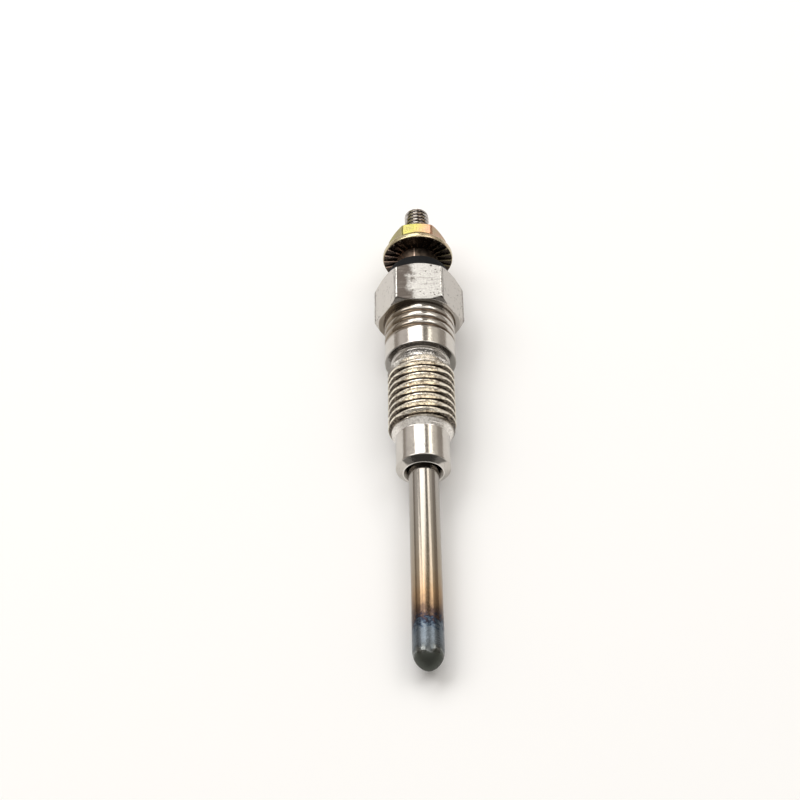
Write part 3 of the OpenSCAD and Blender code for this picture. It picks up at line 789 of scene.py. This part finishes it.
nut_finish, tree, shader = new_finish("yellow_plate", Metallic=1.0)
coords = plug_coords(tree)
x, y, along, radius = plug_place(tree, coords)
film = noise(tree, coords, 0.45, 3.0)
sideways = span(tree, x, -3.2, 3.2, 0.18, 0.82, kind="LINEAR")
film_share = plus(tree, times(tree, film, 0.7), sideways)
film_tint_and_painted_light = ramp(tree, span(tree, film_share, 0.4, 1.3, kind="LINEAR"), [
    (0.05, (0.289, 0.235, 0.123)),
    (0.35, (0.364, 0.342, 0.096)),
    (0.55, (0.417, 0.305, 0.134)),
    (0.75, (0.46, 0.262, 0.177)),
    (0.95, (0.332, 0.268, 0.144)),
])
inside_rim = span(tree, radius, FLANGE_R - 0.04, FLANGE_R - 0.2)
on_face = times(tree, span(tree, along, NUT_Z + 0.46, NUT_Z + 0.36), inside_rim)
# A painted highlight along the flange's rim.
on_rim = times(tree, span(tree, radius, FLANGE_R - 0.2, FLANGE_R - 0.06), 0.6)
film_tint_and_painted_light = mix_color(tree, on_rim, film_tint_and_painted_light, (0.663, 0.589, 0.428, 1))
# The bearing face is a dirty brown, with painted light and shade across it: lighter to the left, darker right
# of the middle and at the top.
face_dirt_and_shade_tint = ramp(tree, span(tree, x, -4.5, 4.5, kind="LINEAR"), [
    (0.0, (0.41, 0.30, 0.24)), (0.6, (0.16, 0.116, 0.094)), (1.0, (0.21, 0.18, 0.11)),
])
face_dirt_and_shade_tint = mix_color(tree, span(tree, y, -2.2, -4.0, 0.0, 0.8), face_dirt_and_shade_tint, (0.075, 0.06, 0.05, 1))
film_tint_and_painted_light = mix_color(tree, on_face, film_tint_and_painted_light, face_dirt_and_shade_tint)
# The flute floors are darker: dirt and painted shade.
flute_dirt_and_shade = times(tree, on_face, span(tree, along, NUT_Z + 0.03, NUT_Z + 0.10))
film_tint_and_painted_light = mix_color(tree, flute_dirt_and_shade, film_tint_and_painted_light, (0.075, 0.059, 0.049, 1))
tree.links.new(film_tint_and_painted_light, shader.inputs["Base Color"])
plate_grain = noise(tree, coords, 4.0, 4.0)
tree.links.new(span(tree, plate_grain, 0.3, 0.7, 0.2, 0.34), shader.inputs["Roughness"])
tree.links.new(bump(tree, plate_grain, 0.4, 0.012), shader.inputs["Normal"])
run_tree(nut, cut_thread, {
    "Pitch": STUD_PITCH, "Depth": NUT_THREAD_DEPTH, "Crest": 0.2, "Root": 0.2, "Major Radius": NUT_BORE_R,
    "Start": STUD_THREAD_START, "End": NUT_TOP_Z, "Reach": NUT_BORE_R + 0.05, "Finish": nut_finish,
})
run_tree(nut, flute_tree(), {
    "Flutes": FLUTES, "Spread": flute_spread, "Depth": FLUTE_DEPTH, "Rim Depth": FLUTE_RIM_DEPTH,
    "Inner Radius": PINCH_R, "Rim Radius": FLANGE_R, "Face": NUT_Z, "Finish": nut_finish,
})
place(nut, "terminal_nut", nut_finish, "yellow_plate")

# Floor.
# A pale matt table top, large enough to fill any view of the plug.
FLOOR_HALF = 40.0
floor_mesh = bpy.data.meshes.new("floor")
floor_corners = [(-1, -1), (1, -1), (1, 1), (-1, 1)]
floor_mesh.from_pydata([(FLOOR_HALF * x, FLOOR_HALF * y, 0) for x, y in floor_corners], [], [(0, 1, 2, 3)])
floor = bpy.data.objects.new("floor", floor_mesh)
bpy.context.scene.collection.objects.link(floor)
floor_finish, tree, shader = new_finish("pale_table", Roughness=0.9, Specular_IOR_Level=0.0)
shader.inputs["Base Color"].default_value = (0.965, 0.965, 0.965, 1)
floor_mesh.materials.append(floor_finish)

# Light.
# A bright ceiling over a dim room that is darker behind the camera, a large and a small soft box beyond
# the plug, a soft box high on either side of it, and a paler patch of wall to the left and the right.
PALE_WALLS = [
    (-56, 30, 21, 8, (0.9, 0.855, 0.81, 1)),
    (47, 36, 17, 6, (0.92, 0.87, 0.79, 1)),
]
world = bpy.data.worlds.new("studio")
world.use_nodes = True
bpy.context.scene.world = world
tree = world.node_tree
way = add_node(tree, "ShaderNodeTexCoord").outputs["Generated"]
x, y, height = add_node(tree, "ShaderNodeSeparateXYZ", {0: way}).outputs
far_room = ramp(tree, height, [
    (0.0, (0.46, 0.415, 0.37)),
    (0.2, (0.46, 0.42, 0.38)),
    (0.45, (0.52, 0.48, 0.435)),
    (0.80, (0.36, 0.33, 0.29)),
    (0.93, (0.40, 0.38, 0.345)),
    (0.97, (1.0, 0.985, 0.965)),
])
near_room = ramp(tree, height, [
    (0.0, (0.23, 0.22, 0.21)),
    (0.34, (0.24, 0.23, 0.215)),
    (0.74, (0.24, 0.23, 0.215)),
    (0.87, (0.80, 0.78, 0.75)),
    (0.97, (1.0, 0.985, 0.965)),
])
room = mix_color(tree, span(tree, y, -0.2, -0.6), far_room, near_room)


def way_to(azimuth, elevation):
    """Direction with an azimuth from +Y towards +X and a height above the floor, in degrees."""
    a, e = math.radians(azimuth), math.radians(elevation)
    return Vector((math.sin(a) * math.cos(e), math.cos(a) * math.cos(e), math.sin(e)))


for azimuth, elevation, outer, inner, color in PALE_WALLS:
    towards = {0: way, 1: way_to(azimuth, elevation)}
    nearness = add_node(tree, "ShaderNodeVectorMath", towards, operation="DOT_PRODUCT").outputs["Value"]
    share = span(tree, nearness, math.cos(math.radians(outer)), math.cos(math.radians(inner)))
    room = mix_color(tree, share, room, color)
tree.links.new(room, tree.nodes["Background"].inputs["Color"])
tree.links.new(span(tree, height, 0.92, 0.975, 0.93, 1.21), tree.nodes["Background"].inputs["Strength"])


def soft_box(name, azimuth, elevation, distance, width, height, glow, color):
    """A soft box that faces the plug; glow is its brightness."""
    lamp = bpy.data.lights.new(name, "AREA")
    lamp.shape = "RECTANGLE"
    lamp.size = width
    lamp.size_y = height
    lamp.energy = glow * math.pi * width * height
    lamp.color = color
    rig = bpy.data.objects.new(name, lamp)
    bpy.context.scene.collection.objects.link(rig)
    aim = way_to(azimuth, elevation)
    rig.location = aim * distance
    rig.rotation_euler = aim.to_track_quat("Z", "Y").to_euler()


soft_box("far_left_soft_box", -17.5, 52, 0.9, 0.50, 0.40, 3.25, (1.0, 0.99, 0.97))
soft_box("far_right_soft_box", 38, 47, 0.9, 0.17, 0.16, 2.5, (1.0, 0.95, 0.86))
soft_box("left_soft_box", -72, 54, 0.9, 0.50, 0.50, 3.07, (1.0, 0.992, 0.985))
soft_box("right_soft_box", 68, 58, 0.9, 0.46, 0.50, 2.33, (1.0, 0.992, 0.985))

# Camera.
# It stands before the heater tip and looks down along the plug.
LENS = 67.93
VIEW_TO_AXIS = math.radians(52.567)
VIEW_ROLL = math.radians(-0.958)
PLUG_SPIN = math.radians(-0.644)
TIP_IN_VIEW = Vector((3.764, -34.967, -195.215)) * MM
camera = bpy.data.objects.new("camera", bpy.data.cameras.new("camera"))
camera.data.lens = LENS
camera.data.clip_start = 0.01
camera.data.clip_end = 100
bpy.context.scene.collection.objects.link(camera)
bpy.context.scene.camera = camera
plug_in_view = (
    Matrix.Translation(TIP_IN_VIEW) @ Matrix.Rotation(-VIEW_ROLL, 4, "Z")
    @ Matrix.Rotation(math.pi + VIEW_TO_AXIS, 4, "X") @ Matrix.Rotation(PLUG_SPIN, 4, "Z")
)
plug_lying = Matrix.Translation(plug_tip) @ Matrix.Rotation(lie_angle, 4, "X")
camera.matrix_world = plug_lying @ plug_in_view.inverted()
bpy.context.scene.view_settings.view_transform = "Standard"
